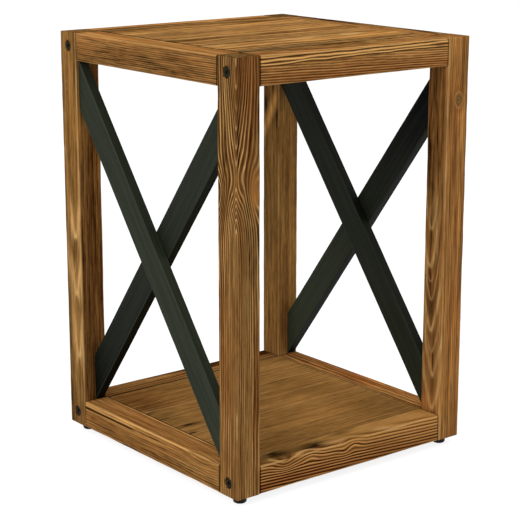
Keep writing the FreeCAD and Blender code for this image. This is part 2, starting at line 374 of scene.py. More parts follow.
def roll(*parts):
    """Steady noise between -1 and 1."""
    return noise.noise(Vector(parts))


def section(board, along, inset, arrises, waver, unevenness, seed):
    """One cross-section: uneven rounded corners with nearly flat sides between them."""
    across, up = board.half.y - inset, board.half.z - inset
    squeeze = math.sqrt(1 + board.slope ** 2)
    corners = ((1, 1), (-1, 1), (-1, -1), (1, -1))
    arcs = []
    for number, (side, level) in enumerate(corners):
        change = sum(
            strength * roll(along * turns, number * unlike, seed)
            for turns, unlike, strength in ARRIS_WAVES)
        radius = arrises[number] * (1 + waver[number] * change)
        radius = max(LEAST_ARRIS, min(radius, across * 0.8) - inset * 0.6)
        tall = radius * squeeze
        arc = []
        for step in range(ARC_STEPS + 1):
            turn = math.pi / 2 * (number + step / ARC_STEPS)
            arc.append((
                side * (across - radius) + radius * math.cos(turn),
                level * (up - tall) + tall * math.sin(turn)))
        arcs.append(arc)
    ring = []
    for number, arc in enumerate(arcs):
        ring += arc
        start, end = arc[-1], arcs[(number + 1) % 4][0]
        normal = ((0, 1), (-1, 0), (0, -1), (1, 0))[number]
        for share in SIDE_POINTS:
            here = [start[i] + (end[i] - start[i]) * share for i in (0, 1)]
            sink = unevenness * (0.5 + 0.5 * roll(
                along * HOLLOWS[0], here[0] * HOLLOWS[1] + seed, here[1] * HOLLOWS[1]))
            ring.append((here[0] - normal[0] * sink, here[1] - normal[1] * sink))
    return ring


def board_mesh(board, arrises, waver, unevenness, end_round, step, seed):
    """A closed mesh of a worn board, from cross-sections along its length."""
    half = board.half.x
    stations = []
    for turn in (math.pi / 2, math.pi / 3, math.pi / 6, 0.0):
        stations.append((half - end_round * (1 - math.sin(turn)), end_round * (1 - math.cos(turn))))
    stations = [(-along, inset) for along, inset in stations]
    inner = half - end_round - END_RUN
    count = max(2, round(inner * 2 / step))
    stations += [(-inner + inner * 2 * n / count, 0.0) for n in range(count + 1)]
    stations += [(-along, inset) for along, inset in reversed(stations[:4])]
    shape = bmesh.new()
    rings = []
    for along, inset in stations:
        ring = section(board, along, inset, arrises, waver, unevenness, seed)
        rings.append([shape.verts.new(board.put(along, a, b)) for a, b in ring])
    for first, second in zip(rings, rings[1:]):
        for n in range(len(first)):
            m = (n + 1) % len(first)
            shape.faces.new((first[n], first[m], second[m], second[n])).smooth = True
    shape.faces.new(rings[0][::-1])
    shape.faces.new(rings[-1])
    bmesh.ops.recalc_face_normals(shape, faces=shape.faces[:])
    return finished_mesh(board.node + "_timber", shape)


def place(name, data):
    """Adds an object to the scene."""
    thing = bpy.data.objects.new(name, data)
    bpy.context.scene.collection.objects.link(thing)
    return thing


def cutter_mesh(diameter, start, end):
    """A closed cylinder from one point to another, to cut a bore with."""
    axis = Vector(end) - Vector(start)
    shape = bmesh.new()
    bmesh.ops.create_cone(
        shape, cap_ends=True, segments=CUTTER_SIDES, radius1=diameter / 2,
        radius2=diameter / 2, depth=axis.length)
    shape.transform(axis.to_track_quat("Z", "Y").to_matrix().to_4x4())
    bmesh.ops.translate(shape, verts=shape.verts[:], vec=(Vector(start) + Vector(end)) / 2)
    return finished_mesh("bore", shape)


def apply_modifiers(thing):
    """Replaces an object's mesh by what its modifiers make of it."""
    made = bpy.data.meshes.new_from_object(
        thing.evaluated_get(bpy.context.evaluated_depsgraph_get()))
    thing.modifiers.clear()
    thing.data = made


def bore(thing, cutters):
    """Cuts closed meshes out of an object."""
    for mesh in cutters:
        tool = place("cutter", mesh)
        cut = thing.modifiers.new("Bore", "BOOLEAN")
        cut.operation = "DIFFERENCE"
        cut.solver = "EXACT"
        cut.object = tool
        bpy.context.view_layer.update()
        apply_modifiers(thing)
        bpy.data.objects.remove(tool)


def hand_over(thing, material, slot, *nodes):
    """Finishes a piece: its material, body and the nodes that it stands for. The slot is not used.
    """
    thing.data.materials.clear()
    thing.data.materials.append(material)
    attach(thing, BODY)
    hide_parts(*nodes)


def repaint(node, material):
    """Gives a node of the frame another finish."""
    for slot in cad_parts[node].material_slots:
        slot.link = "OBJECT"
        slot.material = material


# Finishes

# Where in a year's ring each kind of wood begins, is full, wanes and ends
LATE_WOOD = (0.46, 0.68, 0.8, 0.94)
EARLY_WOOD = (0.0, 0.1, 0.24, 0.4)
KNOT_RIM = (0.8, 1.0, 1.05, 1.3)  # the same of a knot's rim, in radii of the knot
LEAST_LIGHT = 0.06                # the darkest that bands and blots may make the stain

PLAIN = {
    "seed": 1.0,            # where in the noise the board is cut
    "pith": (60.0, -40.0),  # the log's middle, across and up from the board's, in mm
    "rings": 2.8,           # width of a year's ring, in mm
    "taper": 0.0,           # how fast the rings run out along the board
    "drift": 5.0,           # slow bending of the grain, in mm
    "ripple": 1.2,          # small waves of the grain, in mm
    "dark": 0.85,           # strength of the dark late wood lines
    "pale": 0.75,           # strength of the pale lines beside them
    "russet": 0.4,          # share of the redder stain
    "olive": 0.0,           # share of the duller stain
    "contrast": 1.0,        # strength of the stain's clouds and middling streaks
    "tone": 1.0,            # brightness of the whole board
    "painted_light_along": 0.0,            # painted light: how much brighter it gets from its middle to its far end
    "painted_light_from_above": 0.0,            # painted light from above: how much brighter it gets from its middle to its upper face
    "broad": 0.3,           # strength of broad streaks
    "fine": 0.8,            # strength of fine streaks
    "speck": 0.5,           # strength of short dashes
    "arris_wear_and_highlight": 0.6,            # how pale the arrises are: worn bare, with a painted highlight
    "pushes": [],           # the grain bent: centre, reach and push, all in mm
    "calms": [],            # places with weaker ring lines: centre and reach in mm, strength
    "bands": [],            # streaks: axis, place and width in mm, strength
    "blots": [],            # lighter or darker places: centre and reach in mm, strength
    "reds": [],             # redder places: centre and reach in mm, strength
    "knots": [],            # centre and radius in mm, how much taller than wide, strength
    "arches": [],           # tips of pale arches on a side face: y, z, half width, height in mm,
                            # how blunt, thickness of the line in mm, strength, glow inside
    "lips": [],             # split layers: start, end, depth at each, thickness, wave, gap of painted shade, bare
}


def stain(name):
    """One of the timber's colours, as the shaders take it."""
    return (*getattr(bpy.context.scene.timber, name), 1.0)


class Fibres:
    """Where a point lies on its board, and noise drawn out along the board."""

    def __init__(self, r, board, seed):
        self.r = r
        self.board = board
        self.table = r.table()
        local = r.turned(self.table, board.grain_turn(), board.centre)
        self.along, self.across, self.up = r.parts(local)
        self.cut = r.vector("ADD", local, tuple(seed * step for step in SEED_STEP))

    def noise(self, along, across, detail=2.0, roughness=0.5):
        """Noise with a frequency along and across the board, in turns per metre."""
        return self.r.noise(self.cut, (along, across, across), detail, roughness)

    def streaks(self, along, across, detail=2.0, sharpness=0.3):
        noise = self.noise(along, across, detail, 0.55)
        return self.r.rise(noise, 0.5 - sharpness / 2, 0.5 + sharpness / 2)

    def sway(self, along, across, size, detail=1.0):
        """A wandering to both sides of 0, its size in mm."""
        return (self.noise(along, across, detail) - 0.5) * (size * 2 * MM)


class Grain(Fibres):
    """The coordinates of one board's finish, and the log's rings in them."""

    def __init__(self, r, board, look):
        super().__init__(r, board, look["seed"])
        self.look = look
        self.sides = dict(zip("xyz", r.parts(self.table)))
        self.ripple = self.sway(11.0, 75.0, look["ripple"], 2.0)
        self.fine = self.noise(16.0, 430.0, 3.0, 0.6)
        self.patchy = self.noise(14.0, 40.0)

    def spots(self, key):
        """The soft spots of one of the look's lists, 1 at a middle, and their strengths."""
        for *sizes, strength in self.look[key]:
            centre, reach = (tuple(s * MM for s in sizes[n:n + 3]) for n in (0, 3))
            yield self.r.bell(self.table, centre, reach), strength

    def arch(self, y, z, half_width, height, blunt, thickness):
        """Where a ring comes out of a side face: a pale line round a tip, and its inside."""
        r = self.r
        bend = self.sway(16.0, 60.0, 2.5, 2.0)
        off = abs(self.sides["y"] - y * MM + bend + self.ripple) / (half_width * MM)
        up = (self.sides["z"] - z * MM + self.ripple * 4.0) / (height * MM)
        beyond = r.sum("POWER", off, blunt) - up
        steep = r.sum("POWER", off, blunt - 1.0) * (blunt / half_width)
        steep = r.sum("SQRT", steep * steep + 1 / height ** 2)
        beyond = beyond / steep
        faded = (1.0 - r.rise(up, 1.2, 3.5)) * (
            1.0 - r.rise(self.board.half.z - abs(self.up), 1.0 * MM, 3.0 * MM))
        line = r.sum("EXPONENT", -(beyond * beyond) / thickness ** 2)
        line = line * faded * (self.streaks(30.0, 200.0) * 0.6 + 0.4)
        inside = (1.0 - r.rise(beyond, -1.0, 1.0)) * r.sum("EXPONENT", beyond / (thickness * 3.0))
        return line, inside * faded

    def rings(self):
        """The dark late wood and the pale early wood of the log's rings."""
        r, look = self.r, self.look
        from_pith = r.node("ShaderNodeCombineXYZ", {
            1: self.across + self.sway(2.2, 7.0, look["drift"]) - look["pith"][0] * MM,
            2: self.up + self.sway(3.1, 11.0, look["drift"]) - look["pith"][1] * MM})
        reach = r.vector("LENGTH", from_pith, output="Value") + self.ripple
        reach = reach + self.along * look["taper"]
        for spot, push in self.spots("pushes"):
            reach = reach + spot * (push * MM)
        year = reach / (look["rings"] * MM) + (self.noise(0.6, 20.0, 1.0) - 0.5) * 1.6
        within = r.sum("FRACT", year)
        age = r.node("ShaderNodeTexWhiteNoise", {"W": r.sum("FLOOR", year) + look["seed"]},
                     noise_dimensions="1D")
        late = r.between(within, *LATE_WOOD) * (age * 0.6 + 0.4)
        early = r.between(within, *EARLY_WOOD) * (1.0 - age * 0.6)
        early = early * (self.streaks(9.0, 90.0) * 0.7 + 0.3)
        for spot, strength in self.spots("calms"):
            shown = 1.0 - spot * strength
            late, early = late * shown, early * shown
        return late, early


def stained(grain, late, early):
    """The stain's clouds, streaks, bands and blots, with the log's rings in it, and painted light
    along and up the board.
    """
    r, board, look = grain.r, grain.board, grain.look
    russet, worn, honey = (stain(name) for name in ("russet", "worn", "honey"))
    medium = grain.streaks(7.0, 190.0, 3.0)
    clouds = (grain.streaks(5.0, 22.0) * 0.5 + medium * 0.5) * look["contrast"]
    shade = r.blend(clouds + (1.0 - look["contrast"]) * 0.5, stain("amber"), honey)
    shade = r.blend(grain.streaks(6.0, 48.0) * look["russet"], shade, russet)
    shade = r.blend(look["olive"], shade, stain("olive"))
    light = (grain.streaks(3.0, 62.0) - 0.5) * (look["broad"] * 0.7) + (
        (medium - 0.5) * (look["fine"] * look["contrast"] * 0.4))
    light = light + (grain.fine - 0.5) * (look["fine"] * 2.2) + 1.0
    # Painted light: a brightness that changes from the board's middle to its far end
    light = light + grain.along * (look["painted_light_along"] / board.half.x)
    # Painted light from above: brighter towards the upper face, darker towards the lower one
    light = light + grain.up * (look["painted_light_from_above"] / board.half.z)
    light = light + (grain.streaks(50.0, 280.0) - 0.5) * (look["speck"] * 0.8)
    for axis, middle, width, strength in look["bands"]:
        off = (grain.sides[axis] + grain.ripple * 0.5 - middle * MM) / (width * MM)
        light = light + r.hump(off) * strength
    ragged = grain.noise(30.0, 160.0) * 0.8 + 0.6
    for spot, strength in grain.spots("blots"):
        light = light + spot * ragged * strength
    shade = r.brighten(shade, r.sum("MAXIMUM", light * look["tone"], LEAST_LIGHT))
    pale = worn
    for spot, strength in grain.spots("reds"):
        redder = spot * strength
        shade = r.blend(redder, shade, russet)
        pale = r.blend(redder, pale, stain("ginger"))
    shade = r.blend(early * look["pale"], shade, pale)
    shade = r.blend(late * look["dark"], shade, stain("umber"))
    for *form, strength, glow in look["arches"]:
        line, inside = grain.arch(*form)
        lit = r.blend(inside * glow, shade, honey)
        shade = r.blend(inside * (0.6 * glow * glow), lit, worn)
        shade = r.blend(line * strength, shade, worn)
    return shade


def split_layers(grain, shade, relief):
    """Layers that split off along an arris: a pale edge with a dark gap beneath it, the gap painted
    shade.
    """
    r, board = grain.r, grain.board
    front = 1.0 - r.rise(board.half.y - abs(grain.across), 1.0 * MM, 3.0 * MM)
    for number, layer in enumerate(grain.look["lips"]):
        start, end, deep, shallow, thickness, wave, gap_shade, pale_edge = layer
        sway = (r.noise(r.vector("ADD", grain.cut, (number * 0.37, 0.0, 0.0)),
                        (13.0, 0.0, 0.0), 2.0) - 0.5) * (wave * 2 * MM)
        slope = (deep - shallow) / (end - start)
        level = grain.up + sway - (board.half.z - (deep + slope * start) * MM)
        level = level - grain.along * slope
        faded = front * r.rise(grain.along, (start - LIP_FADE) * MM, (start + LIP_FADE) * MM)
        faded = faded * (
            1.0 - r.rise(grain.along, (end - LIP_FADE) * MM, (end + LIP_FADE) * MM))
        off = level / (thickness * MM)
        lip, gap = r.hump(off) * faded, r.hump(off + 1.7) * faded
        # Painted shade: the gap beneath a split layer darkened towards umber
        shade = r.blend(gap * gap_shade, shade, stain("umber"))
        stripped = r.rise(grain.patchy + grain.fine, 0.6, 0.95)
        shade = r.blend(lip * stripped * pale_edge, shade, stain("bare_wood"))
        relief = relief + lip - gap * gap_shade
    return shade, relief


def knots(grain, shade):
    """Round knots with a pale rim, rings of their own and a redder halo."""
    r = grain.r
    for x, y, z, radius, tall, strength in grain.look["knots"]:
        centre = (x * MM, y * MM, z * MM)
        wobble = r.node("ShaderNodeTexNoise", {"Vector": grain.cut, "Scale": 90.0}, 1)
        wobble = r.brighten(r.vector("SUBTRACT", wobble, (0.5, 0.5, 0.5)), radius * 0.9 * MM)
        off = r.vector("SUBTRACT", r.vector("ADD", grain.table, wobble), centre)
        off = r.stretch(off, (1.0, 1.0, 1 / tall))
        distance = r.vector("LENGTH", off, output="Value") / (radius * MM)
        halo = 1.0 - r.rise(distance, 1.0, 2.4)
        rim = r.between(distance, *KNOT_RIM)
        core = 1.0 - r.rise(distance, 0.5, 1.15)
        shade = r.blend(halo * (0.3 * strength), shade, stain("russet"))
        shade = r.blend(rim * grain.patchy * (0.5 * strength), shade, stain("worn"))
        arcs = r.sum("SINE", distance * 14.0) * 0.5 + 0.5
        shade = r.blend(core * (0.85 * strength), shade, r.blend(arcs * 0.6, KNOT_PALE, KNOT_DARK))
    return shade


def timber_finish(board, look, painted_joint_shade=True):
    """Stained, wire-brushed pine, cut from a log whose rings run through the board."""
    material, r = new_finish(board.node)
    grain = Grain(r, board, {**PLAIN, **look})
    late, early = grain.rings()
    shade = stained(grain, late, early)
    shade, relief = split_layers(grain, shade, late * 0.5 + grain.fine * 0.5)

    # Arrises paler in places, worn bare and with a painted highlight; sawn ends that drank more
    # stain; painted shade in the joints
    # Wear and painted highlight: the arrises blended towards pale bare wood
    edge = r.sum("MAXIMUM", board.half.y - abs(grain.across), board.half.z - abs(grain.up))
    ragged = (grain.patchy - 0.5) * (4.0 * MM) + (grain.fine - 0.5) * (3.0 * MM)
    pale_edge = 1.0 - r.rise(edge + ragged, 0.4 * MM, 2.4 * MM)
    shade = r.blend(pale_edge * grain.look["arris_wear_and_highlight"], shade, stain("worn"))
    shade = knots(grain, shade)
    facing = r.node("ShaderNodeTexCoord", output="Normal")
    axis = Euler(board.turn).to_matrix() @ Vector((1.0, 0.0, 0.0))
    end = r.rise(abs(r.vector("DOT_PRODUCT", facing, tuple(axis), output="Value")), 0.6, 0.9)
    # Painted shade: the last few mm at each sawn end darkened, where the board meets another part
    if painted_joint_shade:
        gap = r.rise(board.half.x - abs(grain.along), 1.0 * MM, 3.0 * MM)
        shade = r.brighten(shade, gap * 0.8 + 0.2)
    shade = r.blend(end * 0.25, shade, stain("umber"))

    roughness = 0.72 - late * 0.1 + (grain.fine - 0.5) * 0.2
    r.finish(shade, roughness, relief - pale_edge * 0.2, 0.55 * MM, gloss=0.0)
    return material


def brace_finish(board, seed, tone, painted_light_along, painted_edge_shade):
    """Charcoal stain through which the grain just shows, paler where an arris is worn and has a
    painted highlight, with painted light along the brace and painted shade on its narrow faces.
    """
    material, r = new_finish(board.node)
    grain = Fibres(r, board, seed)
    fibres = grain.noise(30.0, 900.0, 3.0, 0.6)
    streaks = r.rise(grain.noise(7.0, 240.0, 3.0), 0.3, 0.7)
    cloud = grain.noise(6.0, 25.0)
    light = streaks * 0.25 + cloud * 0.4 + (fibres - 0.5) * 0.35 + 0.55
    # Painted light: a brightness that changes towards the rear end of the brace
    light = light + grain.along * (painted_light_along / board.half.x)
    shade = r.brighten(bpy.context.scene.metal.brace_stain, light * tone)
    beside = board.half.y - abs(grain.across)
    tall = board.half.z / math.sqrt(1 + board.slope ** 2)
    edge = r.sum("MAXIMUM", beside, tall - abs(grain.up))
    # Wear and painted highlight: the arrises blended towards a paler grey
    rubbed_and_lit = 1.0 - r.rise(edge + (cloud - 0.5) * (2.0 * MM), 0.2 * MM, 1.6 * MM)
    shade = r.blend(rubbed_and_lit * 0.18, shade, BRACE_RUBBED_AND_LIT)
    # Painted shade: the narrow faces darkened towards a near black
    broad = 1.0 - r.rise(beside, 0.0, 0.9 * MM)
    shade = r.blend((1.0 - broad) * painted_edge_shade, shade, BRACE_SHADED)
    height = streaks * 0.4 + fibres * 0.6
    r.finish(shade, 0.6 - streaks * 0.12, height, 0.3 * MM, gloss=0.05)
    return material


def mottled_finish(name, shades, patches, rise, grit, roughness, depth, **surface):
    """A plain material with soft patches of a second shade and fine grit.

    Patches are the frequencies, detail and roughness of their noise, rise is where they
    begin, where they are full and how strong they are, and roughness is the middle one
    and how much it varies."""
    material, r = new_finish(name)
    table = r.table()
    patch = r.noise(table, *patches)
    share = r.rise(patch, *rise[:2]) * rise[2] if rise else patch
    middle, spread = roughness
    r.finish(r.blend(share, *shades), middle + (patch - 0.5) * spread, r.noise(table, grit),
             depth * MM, **surface)
    return material


def bolt_finish():
    """Blackened steel with paler patches of painted sheen."""
    black = (*bpy.context.scene.metal.bolt_black, 1.0)
    # Painted sheen: soft paler patches on the black
    return mottled_finish(
        "bolt black", (black, BOLT_SHEEN), ((240.0, 240.0, 240.0), 3.0), (0.4, 0.75, 0.6),
        (1600.0, 1600.0, 1600.0), (0.55, 0.3), 0.05, gloss=0.06)


def steel_finish():
    """Zinc-plated steel of nuts and screws."""
    return mottled_finish(
        "zinc plate", (ZINC_BRIGHT, ZINC_DULL), ((300.0, 300.0, 300.0), 3.0), None,
        (2200.0, 2200.0, 500.0), (0.34, 0.25), 0.04, metallic=1.0)


def rubber_finish():
    """Moulded black rubber with a little dust."""
    black = (*bpy.context.scene.metal.rubber, 1.0)
    return mottled_finish(
        "foot rubber", (black, FOOT_DUST), ((180.0, 180.0, 260.0), 4.0, 0.6), (0.5, 0.8, 0.35),
        (2600.0, 2600.0, 2600.0), (0.5, 0.2), 0.06, gloss=0.15)


def dowel_finish(name, turn):
    """Plain beech with its short dark flecks."""
    material, r = new_finish(name)
    grain = r.turned(r.table(), Euler(turn))
    flecks = r.rise(r.noise(grain, (240.0, 1900.0, 1900.0)), 0.55, 0.7)
    fibres = r.noise(grain, (60.0, 1500.0, 1500.0), 3.0)
    shade = r.blend(fibres, BEECH_PALE, BEECH_DARK)
    shade = r.blend(flecks * 0.5, shade, BEECH_FLECK)
    r.finish(shade, 0.6 + (fibres - 0.5) * 0.2, fibres, 0.1 * MM)
    return material


# How each board was cut and what shows on it, in the terms of PLAIN. Places are in the
# table, in mm.
TOP_PLANK = dict(
    rings=6.0, dark=0.4, pale=1.1, russet=0.1, olive=0.15, contrast=0.6, tone=1.22, painted_light_along=0.12,
    broad=0.5, fine=1.0, speck=0.8)
SHELF_PLANK = dict(
    rings=5.0, drift=6.0, dark=0.12, pale=0.25, russet=0.15, olive=0.42, contrast=0.3, broad=0.22,
    fine=0.9, speck=0.35)
LOOKS = {
    "leg_front_left": dict(
        seed=3.0, pith=(44.0, -44.0), rings=2.1, drift=3.0, dark=0.8, pale=1.2, russet=0.7,
        olive=0.28, tone=0.74, painted_light_along=-0.3, arris_wear_and_highlight=0.15,
        pushes=[(-210, -210, 500, 24, 24, 70, -7.0), (-210, -210, 446, 18, 18, 40, -8.0),
            (-178, -214, 435, 13, 13, 34, -7.0), (-214, -174, 432, 15, 15, 34, -8.0)],
        calms=[(-178, -212, 437, 9, 9, 26, 1.0), (-210, -210, 190, 90, 90, 160, 0.4),
            (-197, -214, 454, 8, 9, 15, 0.6), (-207, -207, 575, 4, 4, 40, 0.9),
            (-186, -214, 600, 26, 9, 80, 0.75)],
        blots=[(-178, -210, 438, 9, 12, 30, 0.9), (-176, -212, 424, 5, 9, 9, 0.5),
            (-206, -210, 505, 1.6, 3, 32, -1.7), (-210, -176, 428, 12, 8, 26, -0.4),
            (-208, -208, 452, 3, 3, 26, 1.0), (-208, -208, 230, 2, 2, 60, 0.5),
            (-200, -210, 560, 20, 6, 50, -0.15)],
        reds=[(-186, -214, 600, 26, 9, 90, 0.5), (-178, -214, 440, 10, 9, 30, 0.5)]),
    "leg_rear_left": dict(
        seed=7.0, pith=(-2.0, 80.0), rings=3.4, drift=3.5, dark=0.25, pale=0.3, russet=0.3,
        olive=0.4, tone=0.88, painted_light_along=0.22, fine=1.3, speck=0.35,
        calms=[(-175, 168, 330, 30, 9, 900, 0.9)], bands=[("y", 168, 6, -0.4)],
        blots=[(-212, 172, 465, 9, 4, 26, 0.9), (-212, 183, 334, 6, 5, 26, 0.35),
            (-212, 184, 246, 6, 5, 24, 0.3), (-212, 182, 152, 6, 5, 26, 0.3)],
        reds=[(-175, 166, 330, 60, 8, 900, 0.3)], knots=[(-210, 196, 534, 5.0, 1.3, 0.6)],
        arches=[(183, 308, 8, 20, 2.6, 4.2, 1.1, 0.9), (184, 221, 8, 20, 2.6, 4.6, 1.1, 0.9),
            (182, 123, 8, 26, 2.4, 4.2, 1.1, 0.8), (192, 250, 17, 60, 2.6, 2.0, 0.3, 0.2)]),
    "leg_front_right": dict(
        seed=11.0, pith=(2.0, 90.0), rings=3.6, drift=3.0, dark=0.3, pale=0.35, russet=0.35,
        tone=1.0, painted_light_along=-0.08, fine=1.1, speck=0.25, pushes=[(192, -210, 522, 12, 14, 26, 5.0)],
        blots=[(190, -212, 300, 40, 10, 900, 0.2), (170, -188, 300, 8, 24, 300, -0.2),
            (192, -210, 498, 3, 9, 9, 0.4), (190, -210, 546, 3, 9, 9, 0.35),
            (200, -210, 470, 3, 9, 30, 0.2), (190, -190, 613, 40, 30, 4, 0.5),
            (170, -205, 490, 8, 9, 90, -0.4), (170, -176, 190, 8, 7, 80, -0.4),
            (170, -184, 66, 8, 24, 20, 0.9), (190, -212, 604, 40, 9, 14, 0.15),
            (170, -186, 480, 8, 15, 150, -0.35), (170, -184, 290, 6, 6, 24, 0.3),
            (170, -187, 207, 6, 8, 18, -0.2), (170, -193, 136, 6, 9, 14, -0.2),
            (170, -193, 86, 6, 9, 14, -0.2), (170, -174, 420, 6, 5, 60, -0.25)],
        knots=[(192, -210, 522, 8.0, 1.4, 0.9)],
        arches=[(-182, 276, 11, 34, 1.8, 3.0, 0.85, 0.4), (-186, 226, 9, 28, 1.8, 1.8, 0.6, 0.1),
            (-187, 180, 12, 34, 1.8, 3.2, 0.85, 0.3), (-190, 146, 13, 38, 1.7, 1.8, 0.5, 0.0),
            (-193, 111, 13, 38, 1.6, 3.0, 0.8, 0.4), (-193, 60, 14, 38, 1.6, 3.2, 0.8, 0.5),
            (-184, 332, 10, 34, 1.9, 2.4, 0.5, 0.2), (-184, 252, 10, 34, 1.9, 1.2, 0.4, 0.0)]),
    "leg_rear_right": dict(
        seed=17.0, pith=(-48.0, 52.0), rings=3.0, drift=6.0, dark=0.35, pale=0.3, olive=0.45,
        tone=0.9, painted_light_along=-0.3,
        blots=[(170, 206, 430, 10, 6, 12, 1.8), (170, 197, 447, 10, 6, 12, 2.0),
            (170, 188, 463, 10, 6, 12, 2.1), (170, 180, 479, 10, 6, 12, 1.7),
            (170, 203, 474, 10, 5, 16, -0.6), (170, 176, 455, 10, 4, 14, -0.6),
            (170, 190, 510, 10, 9, 20, -0.35), (192, 168, 300, 24, 6, 900, 0.25)]),
    "side_top_rail_left": dict(
        seed=21.0, pith=(8.0, -92.0), rings=3.0, drift=4.0, dark=0.2, pale=0.6, olive=0.1,
        contrast=0.2, tone=0.82, painted_light_from_above=0.2, broad=0.1, fine=1.5, speck=0.5, arris_wear_and_highlight=0.5,
        bands=[("x", -173, 3, 0.7)],
        blots=[(-212, -20, 588, 12, 110, 12, -0.3), (-212, -150, 590, 10, 14, 14, 0.3),
            (-190, 0, 613, 24, 300, 4, 0.75), (-200, 110, 613, 12, 80, 4, 0.8),
            (-212, 145, 600, 6, 30, 9, 0.5)]),
    "side_top_rail_right": dict(
        seed=24.0, pith=(-12.0, -66.0), rings=2.6, tone=1.15, arris_wear_and_highlight=0.5,
        # The pale band at x 178 is a painted highlight along the rail's inner edge
        bands=[("x", 204, 9, -0.7), ("x", 187, 4, -0.2), ("x", 178, 4, 0.9), ("x", 172, 2, -0.2)]),
    "side_bottom_rail_left": dict(
        seed=29.0, pith=(-24.0, -70.0), rings=3.4, drift=5.0, dark=0.35, pale=0.5, olive=0.2,
        contrast=0.35, tone=1.12, painted_light_from_above=0.3, fine=1.4, speck=0.4, arris_wear_and_highlight=0.5,
        pushes=[(-210, -130, 40, 20, 34, 20, 5.0)], blots=[(-190, 100, 53, 24, 70, 3, 0.3)],
        reds=[(-186, 0, 53, 16, 300, 3, 0.25)],
        lips=[(40, 190, 5.2, 5.2, 1.8, 1.2, 1.5, 0.5), (-93, 110, 0.6, 0.6, 0.6, 0.4, 0.0, 2.2),
            (-40, 190, 11.5, 11.5, 0.9, 1.2, 0.0, 0.4)]),
    # Its high tone is partly painted light: it brightens a rail whose top face lies in shade
    "side_bottom_rail_right": dict(
        seed=33.0, pith=(30.0, -60.0), rings=2.8, dark=0.5, russet=0.8, tone=1.45, arris_wear_and_highlight=0.6),
    "top_front_rail": dict(
        seed=38.0, pith=(6.0, 94.0), rings=3.2, taper=-0.035, drift=4.0, ripple=1.2, dark=0.75,
        pale=1.0, contrast=0.3, tone=1.15, painted_light_along=0.08, painted_light_from_above=0.22, fine=1.1, speck=0.6, arris_wear_and_highlight=0.6,
        calms=[(0, -182, 614, 900, 20, 6, 0.9), (0, -184, 571, 900, 20, 5, 0.9)],
        blots=[(-40, -184, 614, 240, 17, 5, -0.6)], reds=[(0, -212, 572, 400, 30, 16, 0.5)],
        lips=[(-190, 190, 3.2, 2.0, 1.0, 2.4, 1.2, 0.7), (-190, 190, 8.6, 5.4, 1.15, 3.4, 1.3, 1.5),
            (-190, 190, 12.6, 9.4, 0.9, 3.0, 1.3, 1.3)]),
    "top_back_rail": dict(
        seed=41.0, pith=(-10.0, 70.0), rings=2.6, arris_wear_and_highlight=0.6,
        bands=[("y", 196, 12, 0.9), ("y", 172, 5, -0.8)]),
    "shelf_front_rail": dict(
        seed=46.0, pith=(4.0, 120.0), rings=4.6, taper=-0.05, drift=2.6, ripple=1.2, dark=1.3,
        pale=1.9, russet=0.1, olive=0.5, contrast=0.3, tone=1.3, painted_light_along=0.35, painted_light_from_above=0.6, speck=0.2,
        arris_wear_and_highlight=0.85,
        pushes=[(2, -212, 45, 15, 20, 10, 4.5), (-16, -212, 38, 13, 20, 9, -3.0),
            (-125, -212, 46, 18, 20, 11, -7.0), (-78, -212, 46, 16, 20, 9, 5.0)],
        calms=[(0, -182, 54, 900, 18, 9, 1.0), (0, -184, 11, 900, 20, 5, 1.0)],
        blots=[(-124, -184, 52, 30, 12, 5, -1.3), (-60, -191, 53, 28, 13, 6, -1.5),
            (3, -178, 52, 20, 9, 5, -0.7), (0, -216, 26, 900, 10, 60, 0.45),
            (130, -212, 40, 50, 10, 22, 0.3), (-140, -212, 22, 50, 10, 16, -0.3),
            (10, -212, 46, 36, 8, 6, 0.5), (-78, -212, 46, 24, 8, 5, 0.5),
            (-126, -212, 47, 18, 8, 4, -0.7)],
        reds=[(0, -218, 22, 900, 15, 60, 0.8), (-90, -212, 14, 160, 8, 22, 0.4)]),
    "shelf_back_rail": dict(seed=51.0, pith=(8.0, 66.0), rings=3.2, russet=0.8),
    # The dark band at x -168 in each top plank is painted shade of the groove against the left rail
    "top_plank_1": dict(
        TOP_PLANK, seed=57.0, pith=(14.0, -60.0), drift=8.0,
        bands=[("y", -108, 16, 0.45), ("y", -142, 12, -0.3), ("y", -166, 6, -1.0),
            ("x", -168, 3.5, -0.7), ("y", -73, 6, -0.12), ("y", -49, 3, -0.5)],
        blots=[(-105, -150, 612, 40, 30, 20, -0.4), (-105, -62, 612, 40, 14, 20, -0.3)]),
    "top_plank_2": dict(
        TOP_PLANK, seed=61.0, pith=(-20.0, -60.0), drift=8.0,
        bands=[("y", -30, 7, 0.12), ("y", -12, 9, -0.25), ("y", 33, 18, 0.35), ("y", -47, 3, -0.4),
            ("y", 68, 4, -0.4), ("x", -168, 3.5, -0.7)],
        blots=[(90, 4, 612, 60, 30, 20, 0.3)]),
    "top_plank_3": dict(
        TOP_PLANK, seed=66.0, pith=(20.0, -60.0), drift=9.0,
        bands=[("y", 105, 18, 0.5), ("y", 145, 14, -0.15), ("y", 70, 4, -0.4), ("y", 166, 4, -1.1),
            ("x", -168, 3.5, -0.7)],
        blots=[(60, 106, 612, 60, 16, 20, 0.35)]),
    "shelf_plank_1": dict(
        SHELF_PLANK, seed=71.0, pith=(10.0, -60.0), tone=1.36,
        blots=[(131, -93, 52, 60, 30, 20, -0.1), (40, -90, 52, 70, 50, 20, 0.6)]),
    "shelf_plank_2": dict(
        SHELF_PLANK, seed=71.4, pith=(-18.0, -60.0), tone=1.36,
        blots=[(-163, -43, 52, 9, 4, 10, -1.2), (-145, -12, 52, 16, 5, 10, -1.0),
            (40, -30, 52, 60, 40, 20, 0.6), (150, 30, 52, 30, 60, 20, 0.3),
            (-160, 40, 52, 26, 40, 20, -0.4)]),
    "shelf_plank_3": dict(
        SHELF_PLANK, seed=71.8, pith=(12.0, -60.0), tone=1.3,
